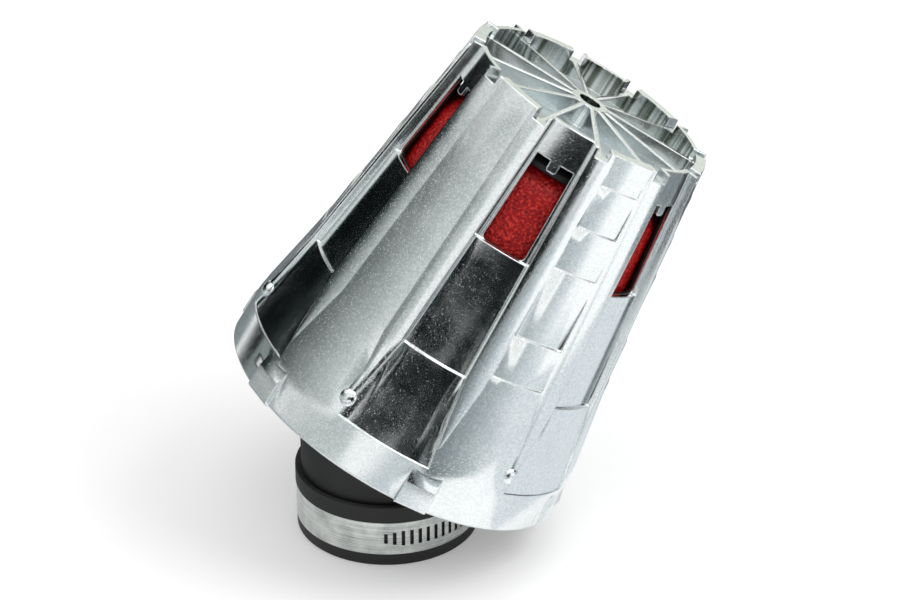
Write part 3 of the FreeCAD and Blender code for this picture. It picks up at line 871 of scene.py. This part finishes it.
        # The share also darkens the pits with painted shade in the foam's material.
        shown = mesh.attributes.new("painted_pit_shade", "FLOAT", "POINT")
        shown.data.foreach_set("value", pits.ravel().astype(np.float32))
        mesh.transform(cowl_lie())
        mesh.shade_smooth()
        return add_piece("red_foam_cone", mesh)

    def build(self) -> None:
        """Model the foam and dress the cap, cage and plate."""
        foam = self.build_foam()
        foam.data.materials.append(self.finish.material())
        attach(foam, FILTER_BODY)
        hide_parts("foam_element")
        log.info("%s modelled with %d faces", foam.name, len(foam.data.polygons))
        black = NYLON.material()
        for name in ("end_cap", "support_cage", "base_plate"):
            dress_node(name, black, self.edges)


@dataclass
class RubberNeck:
    """Slanted neck that takes the carburettor's mouth."""

    finish: MouldedBlack = RUBBER
    edges: EdgeBreak = EdgeBreak(width=0.45, segments=3)

    def build(self) -> None:
        """Dress the neck."""
        dress_node("rubber_neck", self.finish.material(), self.edges)


@dataclass
class WormClamp:
    """Slotted band with its housing and screw."""

    finish: RolledSteel = field(default_factory=RolledSteel)
    edges: EdgeBreak = EdgeBreak(width=0.12, crease=(8.0, 35.0))

    def build(self) -> None:
        """Dress the clamp's three pieces."""
        steel = self.finish.material()
        for name in ("clamp_band", "clamp_housing", "clamp_screw"):
            dress_node(name, steel, self.edges)


@dataclass(frozen=True)
class Card:
    """Glowing card that the plating mirrors, upright or lying on the table, shaded from one colour to another.

    Its glow is a painted reflection. Bearings and the elevations of its lower and upper edge are in degrees.
    """

    name: str
    first: float
    last: float
    low: float
    top: float
    start: str
    end: str


@dataclass(frozen=True)
class Softbox:
    """Square lamp that faces the object, in degrees, metres and watts."""

    name: str
    azimuth: float
    elevation: float
    reach: float
    side: float
    power: float


@dataclass
class Studio:
    """White table, soft lamps, glowing cards that paint reflections in the plating, and the camera. Sizes in
    metres and degrees.

    Room light is the level that lights the object and the one that is seen. The table's glow, which is only
    seen, grows over a range of distances, so that it meets the white room without a horizon.
    """

    azimuth: float = -7.85
    elevation: float = 28.1
    distance: float = 0.8464
    target: tuple[float, float, float] = (0.0169, -0.00233, 0.0678)
    lens: float = 127.5
    sensor: float = 36.0
    room_light: tuple[float, float] = (0.62, 1.0)
    floor_size: float = 12.0
    floor_colour: str = "#EDEDED"
    floor_glow: tuple[float, float] = (0.28, 0.475)
    floor_fade: tuple[float, float] = (0.5, 1.8)
    card_reach: float = 0.5
    card_fold: float = 3.0
    sheet_height: float = 0.0005
    # Glowing cards and sheets on the table, seen only in reflections: painted reflections.
    cards: tuple[Card, ...] = (
        Card("card_front", -38.0, -12.0, 1.0, 18.0, "#1B2021", "#15191A"),
        Card("card_front_right", -12.0, 24.0, -7.5, 18.0, "#15191A", "#15191A"),
        Card("card_left", -168.0, -124.0, -4.0, 33.0, "#0C1010", "#0C1010"),
        Card("card_left_middle", -124.0, -102.0, 6.0, 33.0, "#0C1010", "#3A4241"),
        Card("card_left_faded", -102.0, -54.0, 9.0, 33.0, "#3E4646", "#CCD3D1"),
        Card("card_left_low", -124.0, -38.0, -6.0, 6.0, "#8A9392", "#CFD5D4"),
        Card("card_right", 62.0, 136.0, -2.0, 20.0, "#1A1F1F", "#2A302F"),
        Card("card_back", 136.0, 186.0, 4.0, 17.5, "#EDF1E6", "#B6BDAE"),
        Card("sheet_front_dark", -14.0, 2.0, -13.0, -8.0, "#1B2021", "#3E4547"),
        Card("sheet_front_left", -75.0, 2.0, -34.0, -13.0, "#BCC3C5", "#DDE3E6"),
        Card("sheet_front", 2.0, 24.0, -27.0, -8.0, "#586164", "#B4BCBF"),
        Card("sheet_front_edge", 24.0, 38.0, -27.0, -8.0, "#B4BCBF", "#E6EBEF"),
        Card("sheet_right", 38.0, 108.0, -48.0, -20.0, "#E6EBEF", "#E6EBEF"),
        Card("sheet_right_far", 60.0, 150.0, -20.0, -8.0, "#9BA3A6", "#30373A"),
        Card("sheet_right_back", 108.0, 165.0, -48.0, -20.0, "#E2E7EB", "#6E777A"),
        Card("sheet_back", 165.0, 290.0, -55.0, -8.0, "#4A5255", "#C2C9CC"),
        Card("card_left_high", -176.0, -118.0, 37.0, 60.0, "#2A3031", "#8E9698"),
    )
    lamps: tuple[Softbox, ...] = (
        Softbox("softbox_right", 55.0, 48.0, 1.3, 0.7, 6.0),
        Softbox("softbox_top", -40.0, 75.0, 1.2, 0.9, 3.0),
    )

    def direction(self, azimuth: float, elevation: float) -> Vector:
        """Unit vector from the object, with azimuth 0 towards the front and elevation above the table."""
        a, e = math.radians(azimuth), math.radians(elevation)
        return Vector((math.sin(a) * math.cos(e), -math.cos(a) * math.cos(e), math.sin(e)))

    def seen_rays(self, tree: bpy.types.NodeTree) -> bpy.types.NodeSocket:
        """Tell the rays that see a surface from those that light others.

        Args:
            tree: tree of the material or world.

        Returns:
            Socket that is one for camera, glossy and transmitted rays.
        """
        rays = add_node(tree, "ShaderNodeLightPath")
        first = add_node(tree, "ShaderNodeMath", {"operation": "MAXIMUM"},
                         {0: rays.outputs["Is Camera Ray"], 1: rays.outputs["Is Glossy Ray"]})
        both = add_node(tree, "ShaderNodeMath", {"operation": "MAXIMUM"},
                        {0: first.outputs["Value"], 1: rays.outputs["Is Transmission Ray"]})
        return both.outputs["Value"]

    def build_world(self) -> None:
        """Light the scene evenly, with white where the surroundings are seen."""
        world = bpy.data.worlds.new("white_room")
        bpy.context.scene.world = world
        tree = empty_tree(world)
        level = add_node(tree, "ShaderNodeMapRange",
                         {"To Min": self.room_light[0], "To Max": self.room_light[1]},
                         {"Value": self.seen_rays(tree)})
        room = add_node(tree, "ShaderNodeBackground", {"Color": WHITE}, {"Strength": level.outputs["Result"]})
        add_node(tree, "ShaderNodeOutputWorld", links={"Surface": room.outputs["Background"]})

    def build_floor(self) -> None:
        """Lay the white table, which keeps the shadow and can be looked through from below."""
        material = bpy.data.materials.new("white_table_sheet")
        tree = empty_tree(material)
        sheet = add_node(tree, "ShaderNodeBsdfDiffuse", {"Color": linear(self.floor_colour)})
        spot = add_node(tree, "ShaderNodeTexCoord")
        reach = add_node(tree, "ShaderNodeVectorMath", {"operation": "LENGTH"}, {0: spot.outputs["Object"]})
        fade = add_node(tree, "ShaderNodeMapRange",
                        {"From Min": self.floor_fade[0], "From Max": self.floor_fade[1],
                         "To Min": self.floor_glow[0], "To Max": self.floor_glow[1]},
                        {"Value": reach.outputs["Value"]})
        lift = add_node(tree, "ShaderNodeMath", {"operation": "MULTIPLY"},
                        {0: self.seen_rays(tree), 1: fade.outputs["Result"]})
        glow = add_node(tree, "ShaderNodeEmission", {"Color": WHITE}, {"Strength": lift.outputs["Value"]})
        lit = add_node(tree, "ShaderNodeAddShader",
                       links={0: sheet.outputs["BSDF"], 1: glow.outputs["Emission"]})
        clear = add_node(tree, "ShaderNodeBsdfTransparent")
        side = add_node(tree, "ShaderNodeNewGeometry")
        shown = add_node(tree, "ShaderNodeMixShader",
                         links={0: side.outputs["Backfacing"], 1: lit.outputs["Shader"],
                                2: clear.outputs["BSDF"]})
        add_node(tree, "ShaderNodeOutputMaterial", links={"Surface": shown.outputs["Shader"]})
        half = self.floor_size / 2
        corners = [(-half, -half, 0), (half, -half, 0), (half, half, 0), (-half, half, 0)]
        self.panel("table", corners, material)

    def panel(self, name: str, corners: list[tuple[float, float, float]],
              material: bpy.types.Material) -> bpy.types.Object:
        """Set up a flat piece of the studio.

        Args:
            name: name of the piece.
            corners: its four corners.
            material: its material.

        Returns:
            The new object.
        """
        mesh = bpy.data.meshes.new(name)
        mesh.from_pydata(corners, [], [(0, 1, 2, 3)])
        mesh.materials.append(material)
        sheet = add_piece(name, mesh)
        return sheet

    def card_corner(self, azimuth: float, elevation: float) -> tuple[float, float, float]:
        """Corner of a card in a direction from the object, on the table where that is nearer than its reach.

        Args:
            azimuth: bearing from the object, 0 towards the front.
            elevation: angle above the level of the object's middle.

        Returns:
            The corner's place.
        """
        slope = math.tan(math.radians(elevation))
        reach = self.card_reach
        if slope * reach < self.sheet_height - self.target[2]:
            reach = (self.sheet_height - self.target[2]) / slope
        away = self.direction(azimuth, 0.0) * reach
        return (away.x, away.y, self.target[2] + slope * reach)

    def build_card(self, card: Card) -> None:
        """Set up one card in narrow folds that glow from colour to colour as a painted reflection, seen only
        in plating and steel.

        Args:
            card: the card's place and colours.
        """
        folds = max(1, round((card.last - card.first) / self.card_fold))
        turns = [card.first + (card.last - card.first) * i / folds for i in range(folds + 1)]
        for i, (turn, following) in enumerate(zip(turns, turns[1:])):
            corners = [self.card_corner(turn, card.low), self.card_corner(following, card.low),
                       self.card_corner(following, card.top), self.card_corner(turn, card.top)]
            share = (i + 0.5) / folds
            colour = [a + (b - a) * share for a, b in zip(linear(card.start), linear(card.end))]
            material = bpy.data.materials.new(f"{card.name}_painted_reflection_{i}")
            tree = empty_tree(material)
            # The fold glows with its colour and is hidden from camera, diffuse and shadow rays: a painted
            # reflection.
            glow = add_node(tree, "ShaderNodeEmission", {"Color": colour})
            add_node(tree, "ShaderNodeOutputMaterial", links={"Surface": glow.outputs["Emission"]})
            fold = self.panel(f"{card.name}_{i}", corners, material)
            fold.visible_camera = False
            fold.visible_diffuse = False
            fold.visible_shadow = False

    def build_lamp(self, box: Softbox) -> None:
        """Hang one softbox.

        Args:
            box: the lamp's place, size and power.
        """
        lamp = bpy.data.lights.new(box.name, "AREA")
        lamp.size = box.side
        lamp.energy = box.power
        self.aim(bpy.data.objects.new(box.name, lamp), box.azimuth, box.elevation, box.reach)

    def build_camera(self) -> None:
        """Set the camera at the photograph's angle."""
        lens = bpy.data.cameras.new("camera")
        lens.lens = self.lens
        lens.sensor_width = self.sensor
        camera = bpy.data.objects.new("camera", lens)
        self.aim(camera, self.azimuth, self.elevation, self.distance)
        bpy.context.scene.camera = camera

    def aim(self, device: bpy.types.Object, azimuth: float, elevation: float, reach: float) -> None:
        """Place a lamp or the camera so that it faces the object's middle.

        Args:
            device: lamp or camera.
            azimuth: bearing from the object, 0 towards the front.
            elevation: height above the object's middle as an angle.
            reach: distance from the object's middle.
        """
        away = self.direction(azimuth, elevation)
        device.location = Vector(self.target) + away * reach
        device.rotation_euler = away.to_track_quat("Z", "Y").to_euler()
        bpy.context.scene.collection.objects.link(device)

    def build(self) -> None:
        """Set up the studio."""
        self.build_camera()
        self.build_world()
        self.build_floor()
        for card in self.cards:
            self.build_card(card)
        for box in self.lamps:
            self.build_lamp(box)
        bpy.context.scene.view_settings.view_transform = "Standard"
        log.info("studio set up with %d cards and %d lamps", len(self.cards), len(self.lamps))


def main() -> None:
    """Build and dress the part, then set up the studio."""
    logging.basicConfig(level=logging.INFO, format="%(name)s: %(message)s")
    for piece in (PlatedCowl(), FilterElement(), RubberNeck(), WormClamp(), Studio()):
        piece.build()


if __name__ == "__main__":
    main()
